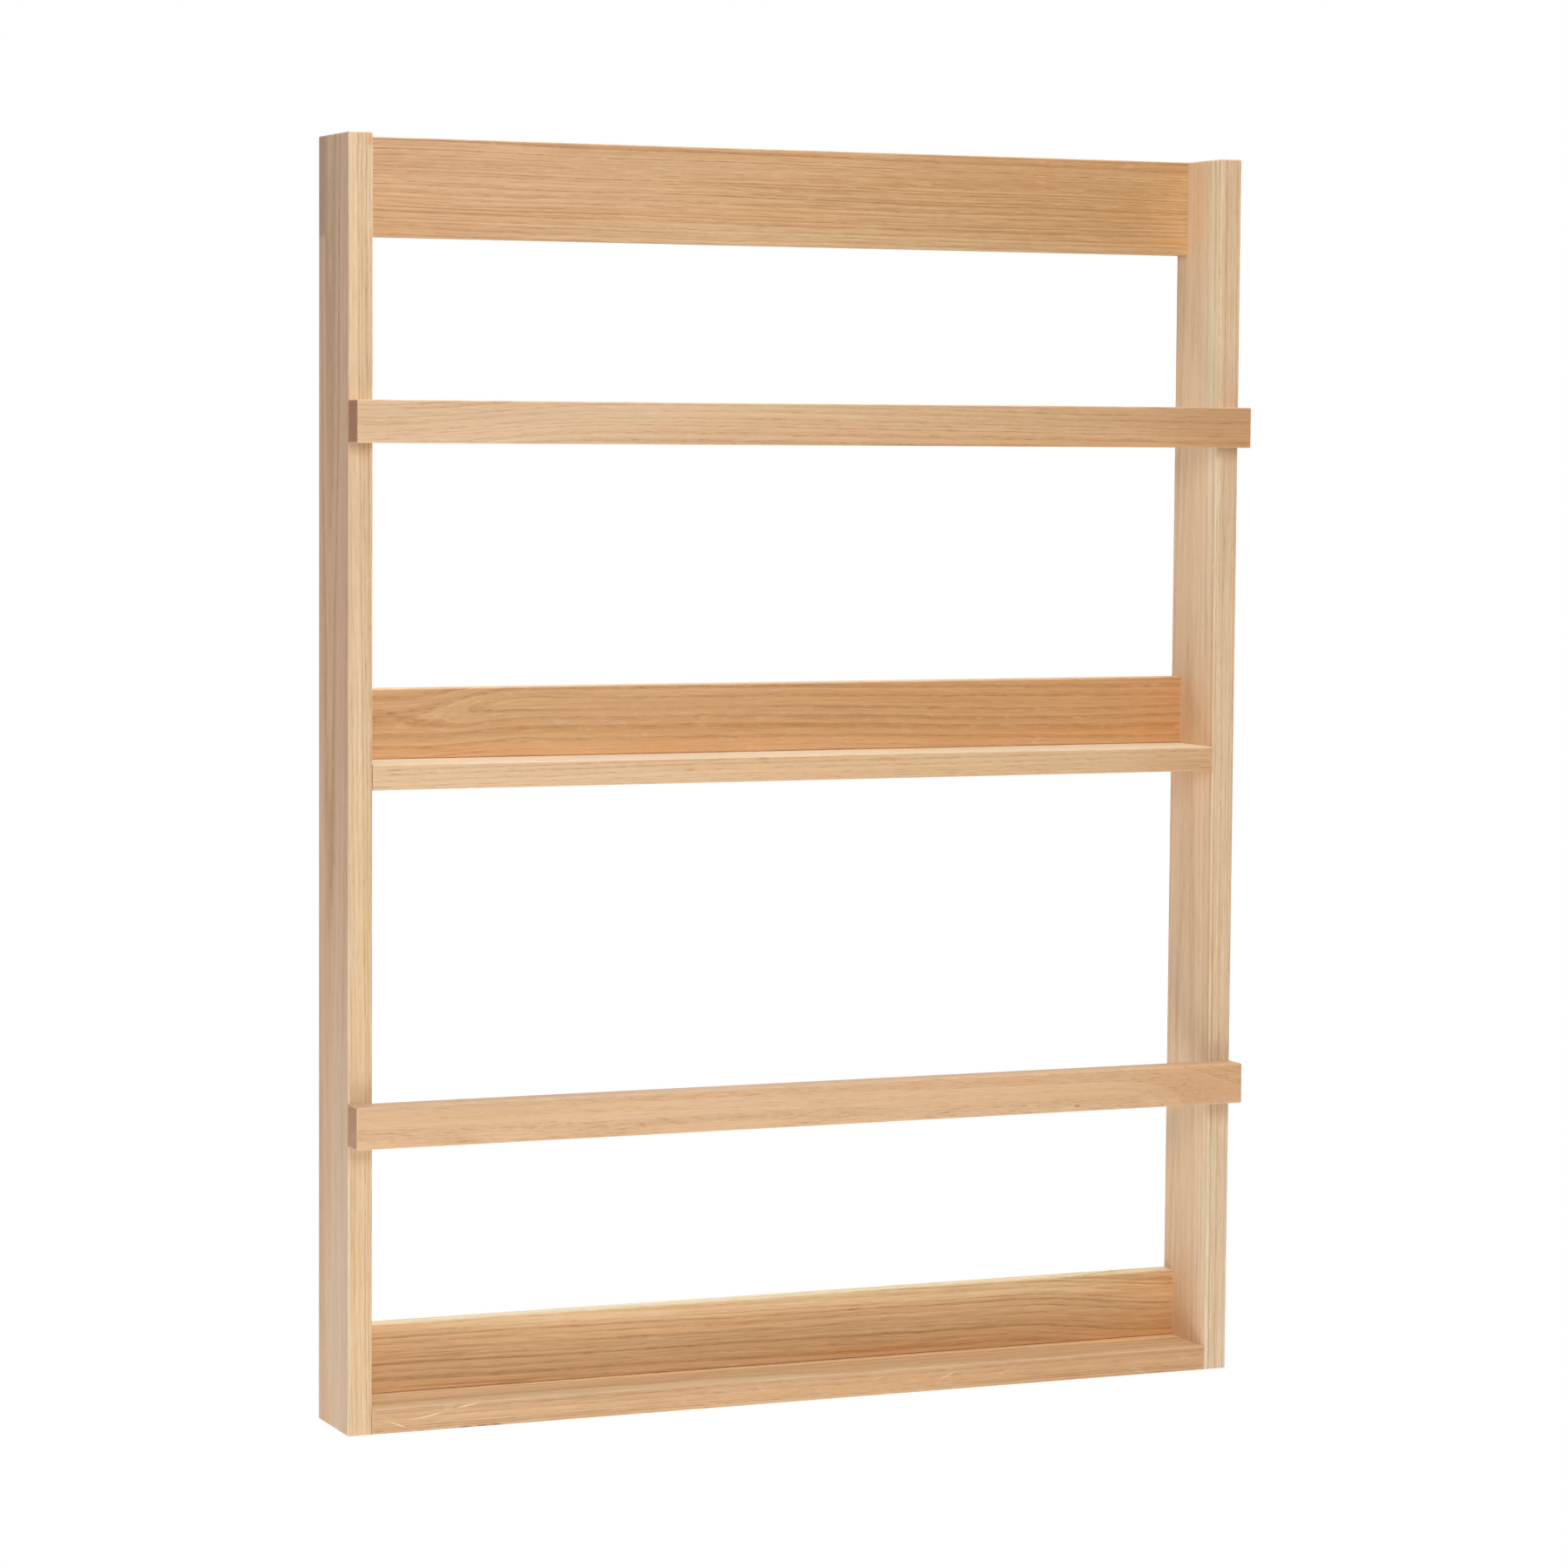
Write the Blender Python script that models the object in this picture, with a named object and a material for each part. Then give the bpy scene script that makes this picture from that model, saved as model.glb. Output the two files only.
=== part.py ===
"""Wall display shelf in solid oak, with two bays for books and magazines shown face out.

Two uprights carry two shelves, three back rails and two front bars, all glued and doweled.
Two keyhole plates, let into the back of the top rail, hang it on the wall.

Lengths are in metres, with +Z up and +X to the right of someone facing the shelf.
The wall is the plane Y = 0 and the front faces -Y.
The world's origin is the middle of the top rail's back face, where the shelf meets the wall.
Each piece is placed from an empty at the feet, so its height is its height above the feet.
"""

import math

import bmesh
import bpy
from mathutils import Matrix, Vector

# Overall size
HEIGHT = 0.915
WIDTH = 0.700
DEPTH = 0.068  # of the uprights and shelves, without the front bars

# Timber sections
UPRIGHT_THICKNESS = 0.018
SHELF_THICKNESS = 0.018
RAIL_THICKNESS = 0.016
TOP_RAIL_HEIGHT = 0.070
BACK_RAIL_HEIGHT = 0.050
BAR_THICKNESS = 0.020
BAR_HEIGHT = 0.030

# Heights of the shelf and of the bars that keep things on the shelves
MIDDLE_SHELF_TOP = 0.475  # above the feet
UPPER_BAR_RISE = 0.225  # from the middle shelf's top to the underside of its bar
LOWER_BAR_RISE = 0.1885  # from the bottom shelf's top to the underside of its bar

# Easing of the edges
EDGE_RADIUS = 0.001
EDGE_SEGMENTS = 3

# Dowels
DOWEL_LENGTH = 0.030
DOWEL_CHAMFER = 0.001
DOWEL_SIDES = 12
SHELF_DOWEL_DIAMETER = 0.008
RAIL_DOWEL_DIAMETER = 0.006  # also the front bars'
DOWEL_COVER = 0.005  # timber left past the end of a dowel hole
SHELF_DOWEL_INSET = 0.017  # from a shelf's front and back edges
RAIL_DOWEL_INSET = 0.0125  # from a rail's top and bottom edges
BAR_DOWEL_INSET = 0.0075  # from a bar's top and bottom edges

# Hanger plates
HANGER_INSET = 0.032  # from an upright's inner face to the plate's middle
PLATE_WIDTH = 0.016
PLATE_HEIGHT = 0.045
PLATE_THICKNESS = 0.002
KEYHOLE_DIAMETER = 0.009  # lets a wall screw's head in
KEYHOLE_SLOT = 0.005  # width of the slot that its neck slides up
KEYHOLE_TRAVEL = 0.011  # from the middle of the hole to the middle of the slot's round end
KEYHOLE_DROP = 0.0065  # of the hole's middle below the plate's middle
POCKET_DEPTH = 0.005  # room for the wall screw's head, in front of the plate
POCKET_ROOM = 0.001  # of the pocket all round the head's way

# Hanger screws
SCREW_DIAMETER = 0.003
SCREW_HEAD_DIAMETER = 0.006
SCREW_HEAD_RIM = 0.0002
SCREW_LENGTH = 0.012
SCREW_POINT = 0.003
SCREW_INSET = 0.005  # from the plate's top and bottom edges
DRIVE_SPAN = 0.0034  # tip to tip of the cross
DRIVE_WIDTH = 0.0009
DRIVE_DEPTH = 0.001

# Clearances
GLUE_GAP = 0.0003  # between glued faces
DOWEL_GAP = 0.00015  # all round a dowel
DOWEL_END_ROOM = 0.001  # past each end of a dowel
METAL_GAP = 0.0003  # round the plates and screws

ROUND_SIDES = 16  # of screws and their holes
ARC_STEPS = 8  # in each half circle of the plates and their cuts
CUT_OVERRUN = 0.002  # how far a cutter stands out of the face that it cuts

INNER_WIDTH = WIDTH - 2 * UPRIGHT_THICKNESS
SIDES = {"left": -1, "right": 1}
ENDS = {"lower": -1, "upper": 1}


# An empty scene, with the empty at the feet that every piece is placed from

for old in list(bpy.data.objects):
    bpy.data.objects.remove(old, do_unlink=True)

feet = bpy.data.objects.new("feet", None)
feet.location = (0, 0, TOP_RAIL_HEIGHT / 2 - HEIGHT)
bpy.context.scene.collection.objects.link(feet)


# Materials

def wood(name, color, roughness=0.5):
    return surface(name, color, roughness, 0.0)


def metal(name, color, roughness):
    return surface(name, color, roughness, 1.0)


def surface(name, color, roughness, metallic):
    material = bpy.data.materials.new(name)
    material.use_nodes = True
    shader = material.node_tree.nodes["Principled BSDF"]
    shader.inputs["Base Color"].default_value = (*color, 1.0)
    shader.inputs["Roughness"].default_value = roughness
    shader.inputs["Metallic"].default_value = metallic
    material.diffuse_color = (*color, 1.0)
    return material


upright_oak = {
    "left": wood("left_upright_oak", (0.72, 0.53, 0.34)),
    "right": wood("right_upright_oak", (0.68, 0.49, 0.31)),
}
top_rail_oak = wood("top_rail_oak", (0.66, 0.42, 0.23))
back_rail_oak = wood("back_rail_oak", (0.62, 0.37, 0.18))
shelf_oak = wood("shelf_oak", (0.65, 0.44, 0.26))
bar_oak = wood("bar_oak", (0.66, 0.45, 0.27))
beech = wood("beech", (0.70, 0.52, 0.36), roughness=0.6)
zinc = metal("zinc_plate", (0.62, 0.63, 0.65), roughness=0.35)
steel = metal("screw_steel", (0.55, 0.55, 0.56), roughness=0.3)


# Meshes

def mesh_from(name, work):
    """Turn the working mesh into mesh data with its faces pointing out."""
    bmesh.ops.recalc_face_normals(work, faces=work.faces)
    mesh = bpy.data.meshes.new(name)
    work.to_mesh(mesh)
    work.free()
    return mesh


def mark_eased(work, is_eased):
    """Give a full bevel weight to the edges that get sanded round."""
    weight = work.edges.layers.float.new("bevel_weight_edge")
    for edge in work.edges:
        if is_eased(edge):
            edge[weight] = 1.0


def block_mesh(name, size, is_eased):
    """A block centred on its own origin."""
    work = bmesh.new()
    bmesh.ops.create_cube(work, size=1.0, matrix=Matrix.Diagonal((*size, 1.0)))
    mark_eased(work, is_eased)
    return mesh_from(name, work)


def add_prism(work, outline, place, depth):
    """Add an outline of (across, up) points, thickened by depth along the place's own Z axis."""
    bottom = [work.verts.new(place @ Vector((across, up, 0.0))) for across, up in outline]
    top = [work.verts.new(place @ Vector((across, up, depth))) for across, up in outline]
    work.faces.new(bottom)
    work.faces.new(top)
    add_sides(work, bottom, top)


def add_sides(work, ring, following):
    """Join two rings of as many corners by quads."""
    for i in range(len(ring)):
        j = (i + 1) % len(ring)
        work.faces.new((ring[i], ring[j], following[j], following[i]))


def add_turned(work, profile, place, sides):
    """Add a solid turned about the place's own Z axis, from (radius, height) points off the axis."""
    rings = []
    for radius, height in profile:
        ring = []
        for step in range(sides):
            angle = 2 * math.pi * step / sides
            point = Vector((radius * math.cos(angle), radius * math.sin(angle), height))
            ring.append(work.verts.new(place @ point))
        rings.append(ring)
    work.faces.new(rings[0])
    work.faces.new(rings[-1])
    for ring, following in zip(rings, rings[1:]):
        add_sides(work, ring, following)


def facing(point, axis):
    """The place whose Z axis runs from the point along the axis."""
    return Matrix.Translation(point) @ Vector(axis).to_track_quat("Z", "Y").to_matrix().to_4x4()


def facing_wall(x, y, z):
    """The place whose X is the shelf's X, whose Y is up and whose Z points away from the wall."""
    turn = Matrix(((1, 0, 0), (0, 0, -1), (0, 1, 0))).to_4x4()
    return Matrix.Translation((x, y, z)) @ turn


def arc(centre, radius, start, end):
    """Points along an arc, from the start angle to the end angle in degrees."""
    points = []
    steps = max(2, round(ARC_STEPS * abs(end - start) / 180))
    for step in range(steps + 1):
        angle = math.radians(start + (end - start) * step / steps)
        points.append((centre[0] + radius * math.cos(angle), centre[1] + radius * math.sin(angle)))
    return points


def obround(radius, low, high):
    """An upright outline with round ends about the heights low and high."""
    return arc((0, high), radius, 0, 180) + arc((0, low), radius, 180, 360)


def keyhole():
    """The hole for the wall screw's head, with the slot above it for its neck."""
    hole = KEYHOLE_DIAMETER / 2
    neck = KEYHOLE_SLOT / 2
    corner = math.degrees(math.acos(neck / hole))
    hole_arc = arc((0, -KEYHOLE_DROP), hole, 180 - corner, 360 + corner)
    return arc((0, KEYHOLE_TRAVEL - KEYHOLE_DROP), neck, 0, 180) + hole_arc


def cross(span, width):
    """A plus sign centred on the origin."""
    tip = span / 2
    flank = width / 2
    quarter = [(tip, -flank), (tip, flank), (flank, flank)]
    points = []
    for turns in range(4):
        for across, up in quarter:
            for _ in range(turns):
                across, up = -up, across
            points.append((across, up))
    return points


# Objects

def add_object(name, mesh, location=(0, 0, 0), material=None):
    obj = bpy.data.objects.new(name, mesh)
    obj.location = location
    obj.parent = feet
    if material:
        mesh.materials.append(material)
    bpy.context.scene.collection.objects.link(obj)
    return obj


def shade_round(obj):
    obj.data.shade_smooth()
    obj.data.set_sharp_from_angle(angle=math.radians(35))


def ease(obj):
    """Round the marked edges of a board."""
    bevel = obj.modifiers.new("eased edges", "BEVEL")
    bevel.limit_method = "WEIGHT"
    bevel.width = EDGE_RADIUS
    bevel.segments = EDGE_SEGMENTS


def cut(obj, name, work):
    """Take the working mesh out of the object. Its bodies don't touch each other."""
    cutter = add_object(name, mesh_from(name, work))
    cutter.hide_render = True
    cutter.display_type = "WIRE"
    boolean = obj.modifiers.new(name, "BOOLEAN")
    boolean.operation = "DIFFERENCE"
    boolean.solver = "EXACT"
    boolean.object = cutter


# Boards

def runs_along_x(edge):
    low, high = edge.verts
    return abs(low.co.x - high.co.x) > abs(low.co.y - high.co.y) + abs(low.co.z - high.co.z)


def board(name, length, thickness, height, back, foot, material, is_eased):
    """A board lying along X, centred between the uprights, from its back and its underside."""
    centre = (0, back - thickness / 2, foot + height / 2)
    obj = add_object(name, block_mesh(name, (length, thickness, height), is_eased), centre, material)
    ease(obj)
    return obj


def shelf(name, top, material):
    """A shelf between the uprights: its ends stay sharp, where they meet them."""
    length = INNER_WIDTH - 2 * GLUE_GAP
    return board(name, length, DEPTH, SHELF_THICKNESS, 0, top - SHELF_THICKNESS, material, runs_along_x)


def back_rail(name, shelf_top, material):
    """A rail between the uprights, standing on the back of a shelf."""
    length = INNER_WIDTH - 2 * GLUE_GAP
    foot = shelf_top + GLUE_GAP
    return board(name, length, RAIL_THICKNESS, BACK_RAIL_HEIGHT, 0, foot, material, runs_along_x)


def front_bar(name, foot, material):
    """A bar across both uprights' front edges, eased all round."""
    back = -DEPTH - GLUE_GAP
    return board(name, WIDTH, BAR_THICKNESS, BAR_HEIGHT, back, foot, material, lambda edge: True)


def top_rail(material):
    """The rail that hangs the shelf: its ends lie in the notches of the uprights."""
    foot = HEIGHT - TOP_RAIL_HEIGHT

    def is_eased(edge):
        # An end's front and lower edges lie in the notch.
        middle = (edge.verts[0].co + edge.verts[1].co) / 2
        in_front = middle.y < -RAIL_THICKNESS / 4
        below = middle.z < -TOP_RAIL_HEIGHT / 4
        return runs_along_x(edge) or not (in_front or below)

    return board("top_rail", WIDTH, RAIL_THICKNESS, TOP_RAIL_HEIGHT, 0, foot, material, is_eased)


def upright(side, material):
    """A side board, with a notch in the top of its back edge for the top rail."""
    ledge = HEIGHT - TOP_RAIL_HEIGHT - GLUE_GAP
    notch = -RAIL_THICKNESS - GLUE_GAP
    outline = [(0, 0), (-DEPTH, 0), (-DEPTH, HEIGHT), (notch, HEIGHT), (notch, ledge), (0, ledge)]
    work = bmesh.new()
    across = Matrix(((0, 0, 1), (1, 0, 0), (0, 1, 0))).to_4x4()
    place = Matrix.Translation((-UPRIGHT_THICKNESS / 2, 0, 0)) @ across
    add_prism(work, outline, place, UPRIGHT_THICKNESS)

    def is_eased(edge):
        # Edges of the notch stay sharp, where the rail meets them.
        low, high = (vert.co for vert in edge.verts)
        beside = min(low.y, high.y) > notch - EDGE_RADIUS / 2
        above = min(low.z, high.z) > ledge - EDGE_RADIUS / 2
        return not (beside and above)

    mark_eased(work, is_eased)
    name = side + "_upright"
    x = SIDES[side] * (WIDTH - UPRIGHT_THICKNESS) / 2
    obj = add_object(name, mesh_from(name, work), (x, 0, 0), material)
    ease(obj)
    return obj


# Dowels

def add_hole(holes, board_obj, place, radius, depth):
    """Note a round hole of this depth, which starts outside the board's face."""
    if board_obj.name not in holes:
        holes[board_obj.name] = bmesh.new()
    profile = [(radius, -CUT_OVERRUN), (radius, depth)]
    add_turned(holes[board_obj.name], profile, place, DOWEL_SIDES)


def dowel(name, holes, thin, thick, point, axis, diameter, thickness):
    """A dowel through a joint face at the point.

    The axis leads into the thin board, whose thickness along it sets how deep the dowel goes.
    The rest of the dowel goes into the thick board, on the other side of the face.
    """
    radius = diameter / 2
    bevelled = radius - DOWEL_CHAMFER
    depth = thickness - DOWEL_COVER - DOWEL_END_ROOM
    start = depth - DOWEL_LENGTH
    work = bmesh.new()
    profile = [
        (bevelled, start),
        (radius, start + DOWEL_CHAMFER),
        (radius, depth - DOWEL_CHAMFER),
        (bevelled, depth),
    ]
    add_turned(work, profile, Matrix(), DOWEL_SIDES)
    obj = add_object(name, mesh_from(name, work), point, beech)
    obj.rotation_euler = facing((0, 0, 0), axis).to_euler()
    shade_round(obj)
    into_thin = facing(point, axis)
    into_thick = into_thin @ Matrix.Rotation(math.pi, 4, "X")
    add_hole(holes, thin, into_thin, radius + DOWEL_GAP, depth + DOWEL_END_ROOM)
    add_hole(holes, thick, into_thick, radius + DOWEL_GAP, DOWEL_LENGTH - depth + DOWEL_END_ROOM)


def end_dowels(piece, holes, diameter, places):
    """Dowels from both ends of a shelf or back rail into the uprights, at named (y, z) places."""
    for side, sign in SIDES.items():
        for place, (y, z) in places.items():
            name = f"{piece.name}_dowel_{side}_{place}"
            point = (sign * INNER_WIDTH / 2, y, z)
            dowel(name, holes, uprights[side], piece, point, (sign, 0, 0), diameter, UPRIGHT_THICKNESS)


def shelf_dowels(piece, holes):
    z = piece.location.z
    places = {"front": (SHELF_DOWEL_INSET - DEPTH, z), "back": (-SHELF_DOWEL_INSET, z)}
    end_dowels(piece, holes, SHELF_DOWEL_DIAMETER, places)


def back_rail_dowels(piece, holes):
    reach = BACK_RAIL_HEIGHT / 2 - RAIL_DOWEL_INSET
    places = {end: (piece.location.y, piece.location.z + sign * reach) for end, sign in ENDS.items()}
    end_dowels(piece, holes, RAIL_DOWEL_DIAMETER, places)


def lap_dowels(piece, holes, y, out, thickness, reach):
    """Dowels from a rail or bar that crosses the uprights, through the joint plane at y."""
    for side, sign in SIDES.items():
        for end, up in ENDS.items():
            name = f"{piece.name}_dowel_{side}_{end}"
            point = (sign * (WIDTH - UPRIGHT_THICKNESS) / 2, y, piece.location.z + up * reach)
            axis = (0, out, 0)
            dowel(name, holes, piece, uprights[side], point, axis, RAIL_DOWEL_DIAMETER, thickness)


# Hangers

def screw_profile(gap):
    """A countersunk screw from its head down, as (radius, depth) points, grown by the gap."""
    shank = SCREW_DIAMETER / 2
    head = SCREW_HEAD_DIAMETER / 2
    neck = SCREW_HEAD_RIM + head - shank
    tip = shank / 4
    return [
        (head + gap, 0),
        (head + gap, SCREW_HEAD_RIM),
        (shank + gap, neck),
        (shank + gap, SCREW_LENGTH - SCREW_POINT),
        (tip + gap, SCREW_LENGTH + gap),
    ]


def hanger(side, rail):
    """A keyhole plate flush in the rail's back, its two screws, and the rail's cuts for them."""
    x = SIDES[side] * (INNER_WIDTH / 2 - HANGER_INSET)
    middle = HEIGHT - TOP_RAIL_HEIGHT / 2
    plate_end = (PLATE_HEIGHT - PLATE_WIDTH) / 2
    screw_reach = PLATE_HEIGHT / 2 - SCREW_INSET

    # The plate's own Y axis is up, and its Z axis points out of the wall.
    outside = facing_wall(x, CUT_OVERRUN, middle)
    work = bmesh.new()
    plate_outline = obround(PLATE_WIDTH / 2, -plate_end, plate_end)
    add_prism(work, plate_outline, facing_wall(0, 0, 0), PLATE_THICKNESS)
    name = side + "_hanger_plate"
    plate = add_object(name, mesh_from(name, work), (x, 0, middle), zinc)
    shade_round(plate)

    recess = bmesh.new()
    recess_outline = obround(PLATE_WIDTH / 2 + METAL_GAP, -plate_end, plate_end)
    add_prism(recess, recess_outline, outside, CUT_OVERRUN + PLATE_THICKNESS + METAL_GAP)
    cut(rail, side + "_plate_recess", recess)

    pocket = bmesh.new()
    pocket_radius = KEYHOLE_DIAMETER / 2 + POCKET_ROOM
    pocket_outline = obround(pocket_radius, -KEYHOLE_DROP, KEYHOLE_TRAVEL - KEYHOLE_DROP)
    add_prism(pocket, pocket_outline, outside, CUT_OVERRUN + PLATE_THICKNESS + POCKET_DEPTH)
    cut(rail, side + "_head_pocket", pocket)

    opening = bmesh.new()
    add_prism(opening, keyhole(), outside, 2 * CUT_OVERRUN + PLATE_THICKNESS)
    cut(plate, side + "_keyhole", opening)

    screw_holes = bmesh.new()
    for end, up in ENDS.items():
        seat = facing_wall(x, 0, middle + up * screw_reach)
        profile = screw_profile(METAL_GAP)
        above_head = [(profile[0][0], -CUT_OVERRUN), *profile[1:]]
        add_turned(screw_holes, above_head, seat, ROUND_SIDES)
        hanger_screw(f"{side}_hanger_screw_{end}", seat.translation)
    holes_name = side + "_screw_holes"
    cut(plate, holes_name, screw_holes.copy())
    cut(rail, holes_name + "_in_rail", screw_holes)


def hanger_screw(name, seat):
    """A countersunk screw with its head in the plate and a cross for the driver."""
    work = bmesh.new()
    add_turned(work, screw_profile(0), facing_wall(0, 0, 0), ROUND_SIDES)
    obj = add_object(name, mesh_from(name, work), seat, steel)
    shade_round(obj)
    drive = bmesh.new()
    place = facing_wall(seat.x, CUT_OVERRUN, seat.z)
    add_prism(drive, cross(DRIVE_SPAN, DRIVE_WIDTH), place, CUT_OVERRUN + DRIVE_DEPTH)
    cut(obj, name + "_drive", drive)


# The shelf

uprights = {side: upright(side, upright_oak[side]) for side in SIDES}
hanging_rail = top_rail(top_rail_oak)
middle_shelf = shelf("middle_shelf", MIDDLE_SHELF_TOP, shelf_oak)
bottom_shelf = shelf("bottom_shelf", SHELF_THICKNESS, shelf_oak)
middle_back_rail = back_rail("middle_back_rail", MIDDLE_SHELF_TOP, back_rail_oak)
bottom_back_rail = back_rail("bottom_back_rail", SHELF_THICKNESS, back_rail_oak)
upper_front_bar = front_bar("upper_front_bar", MIDDLE_SHELF_TOP + UPPER_BAR_RISE, bar_oak)
lower_front_bar = front_bar("lower_front_bar", SHELF_THICKNESS + LOWER_BAR_RISE, bar_oak)

dowel_holes = {}
for piece in (middle_shelf, bottom_shelf):
    shelf_dowels(piece, dowel_holes)
for piece in (middle_back_rail, bottom_back_rail):
    back_rail_dowels(piece, dowel_holes)
rail_reach = TOP_RAIL_HEIGHT / 2 - RAIL_DOWEL_INSET
lap_dowels(hanging_rail, dowel_holes, -RAIL_THICKNESS, 1, RAIL_THICKNESS, rail_reach)
bar_reach = BAR_HEIGHT / 2 - BAR_DOWEL_INSET
for piece in (upper_front_bar, lower_front_bar):
    lap_dowels(piece, dowel_holes, -DEPTH - GLUE_GAP, -1, BAR_THICKNESS, bar_reach)
for board_name, hole_mesh in dowel_holes.items():
    cut(bpy.data.objects[board_name], board_name + "_dowel_holes", hole_mesh)

for side in SIDES:
    hanger(side, hanging_rail)
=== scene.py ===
# Wall display shelf in oiled oak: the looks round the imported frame.
# Sizes are in metres, and the patterns inside the wood are in millimetres.
import math
import random

import bmesh
import bpy
from mathutils import Matrix, Vector


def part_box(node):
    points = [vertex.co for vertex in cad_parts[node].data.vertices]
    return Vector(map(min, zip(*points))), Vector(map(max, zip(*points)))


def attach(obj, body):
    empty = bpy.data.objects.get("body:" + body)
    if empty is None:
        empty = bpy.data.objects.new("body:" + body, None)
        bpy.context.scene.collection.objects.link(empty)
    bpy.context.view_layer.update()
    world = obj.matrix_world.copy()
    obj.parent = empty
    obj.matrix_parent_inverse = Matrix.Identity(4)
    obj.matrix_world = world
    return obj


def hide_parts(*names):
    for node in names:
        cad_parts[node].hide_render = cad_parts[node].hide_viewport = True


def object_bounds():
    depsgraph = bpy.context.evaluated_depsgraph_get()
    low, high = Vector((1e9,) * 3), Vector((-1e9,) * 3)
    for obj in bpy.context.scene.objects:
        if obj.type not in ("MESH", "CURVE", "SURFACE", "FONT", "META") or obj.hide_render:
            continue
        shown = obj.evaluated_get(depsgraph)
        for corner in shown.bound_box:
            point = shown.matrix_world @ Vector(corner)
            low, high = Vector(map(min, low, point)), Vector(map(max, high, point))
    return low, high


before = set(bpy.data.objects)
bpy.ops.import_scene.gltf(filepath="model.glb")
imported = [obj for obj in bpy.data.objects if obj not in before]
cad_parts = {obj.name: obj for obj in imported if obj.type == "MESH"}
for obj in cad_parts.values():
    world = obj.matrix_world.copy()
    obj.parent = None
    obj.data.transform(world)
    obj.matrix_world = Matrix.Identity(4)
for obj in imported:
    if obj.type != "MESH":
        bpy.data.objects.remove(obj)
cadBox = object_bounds()
print("frame loaded:", len(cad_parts), "pieces")

perMetre = 1000.0  # millimetres


# Camera: the photograph was taken from the left, a little above the middle.
view = {
    "place": (-1.3836, -3.2733, -0.1674),
    "turn": 23.062,  # degrees, to the right of looking straight at the wall
    "tilt": 4.233,  # degrees, downwards
    "roll": 0.418,
    "lens": 110.52,
    "sensor": 36.0,
}

cameraData = bpy.data.cameras.new("camera")
cameraData.lens = view["lens"]
cameraData.sensor_width = view["sensor"]
camera = bpy.data.objects.new("camera", cameraData)
camera.matrix_world = (
    Matrix.Translation(view["place"])
    @ Matrix.Rotation(math.radians(-view["turn"]), 4, "Z")
    @ Matrix.Rotation(math.radians(90 - view["tilt"]), 4, "X")
    @ Matrix.Rotation(math.radians(view["roll"]), 4, "Z")
)
bpy.context.scene.collection.objects.link(camera)
bpy.context.scene.camera = camera
bpy.context.scene.view_settings.view_transform = "Standard"
print("camera placed")


def isNumber(value):
    return isinstance(value, (int, float))


class Wire:  # one output of a node, so that shader sums read as plain Python
    def __init__(self, web, socket):
        self.web = web
        self.socket = socket

    def __add__(self, other):
        return self.web.sum("ADD", self, other)

    def __radd__(self, other):
        return self.web.sum("ADD", other, self)

    def __sub__(self, other):
        return self.web.sum("SUBTRACT", self, other)

    def __rsub__(self, other):
        return self.web.sum("SUBTRACT", other, self)

    def __mul__(self, other):
        return self.web.sum("MULTIPLY", self, other)

    def __rmul__(self, other):
        return self.web.sum("MULTIPLY", other, self)

    def __truediv__(self, other):
        return self.web.sum("DIVIDE", self, other)

    def __abs__(self):
        return self.web.sum("ABSOLUTE", self)

    def span(self, low, high, start=0.0, end=1.0):  # a smooth step between two values
        sockets = {"Value": self, "From Min": low, "From Max": high, "To Min": start, "To Max": end}
        return self.web.node("ShaderNodeMapRange", {"interpolation_type": "SMOOTHSTEP"}, sockets)


class Web:  # the node tree that the wires belong to
    def __init__(self, tree):
        self.tree = tree
        tree.nodes.clear()

    def node(self, kind, settings=None, inputs=None, output=0):
        made = self.tree.nodes.new(kind)
        for name, value in (settings or {}).items():
            if name == "stops":
                for place, colour in value[1:-1]:
                    made.color_ramp.elements.new(place)
                for stop, (place, colour) in zip(made.color_ramp.elements, value):
                    stop.position = place
                    stop.color = colour
            else:
                setattr(made, name, value)
        for key, value in (inputs or {}).items():
            wires = value if isinstance(value, list) else [value]
            if isinstance(wires[0], Wire):
                for wire in wires:
                    self.tree.links.new(wire.socket, made.inputs[key])
            else:
                made.inputs[key].default_value = value
        return Wire(self, made.outputs[output]) if made.outputs else made

    def sum(self, operation, *values, output=0):
        isVector = any(isinstance(v, Wire) and v.socket.type == "VECTOR" for v in values)
        if isVector:
            values = [(v, v, v) if isNumber(v) else v for v in values]
        kind = "ShaderNodeVectorMath" if isVector else "ShaderNodeMath"
        return self.node(kind, {"operation": operation}, dict(enumerate(values)), output)

    def join(self, x, y, z):
        return self.node("ShaderNodeCombineXYZ", {}, {0: x, 1: y, 2: z})

    def split(self, vector):
        made = self.node("ShaderNodeSeparateXYZ", {}, {0: vector})
        return [Wire(self, made.socket.node.outputs[i]) for i in range(3)]

    def noise(self, vector, detail=2.0):
        return self.node("ShaderNodeTexNoise", {}, {"Vector": vector, "Scale": 1.0, "Detail": detail})

    def noise1(self, value, detail):  # noise along one line
        settings = {"noise_dimensions": "1D"}
        return self.node("ShaderNodeTexNoise", settings, {"W": value, "Scale": 1.0, "Detail": detail})

    def chance(self, value):  # a random number for each whole number
        return self.node("ShaderNodeTexWhiteNoise", {"noise_dimensions": "1D"}, {"W": value})

    def mix(self, amount, first, second, blend="MIX"):
        settings = {"data_type": "RGBA", "blend_type": blend}
        return self.node("ShaderNodeMix", settings, {0: amount, 6: first, 7: second}, output=2)

    def ramp(self, factor, stops):
        return self.node("ShaderNodeValToRGB", {"stops": stops}, {"Fac": factor})


def paint(red, green, blue):  # a colour as a screen shows it, from 0 to 255
    def linear(part):
        part = part / 255
        return part / 12.92 if part <= 0.04045 else ((part + 0.055) / 1.055) ** 2.4

    return (linear(red), linear(green), linear(blue), 1.0)


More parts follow.
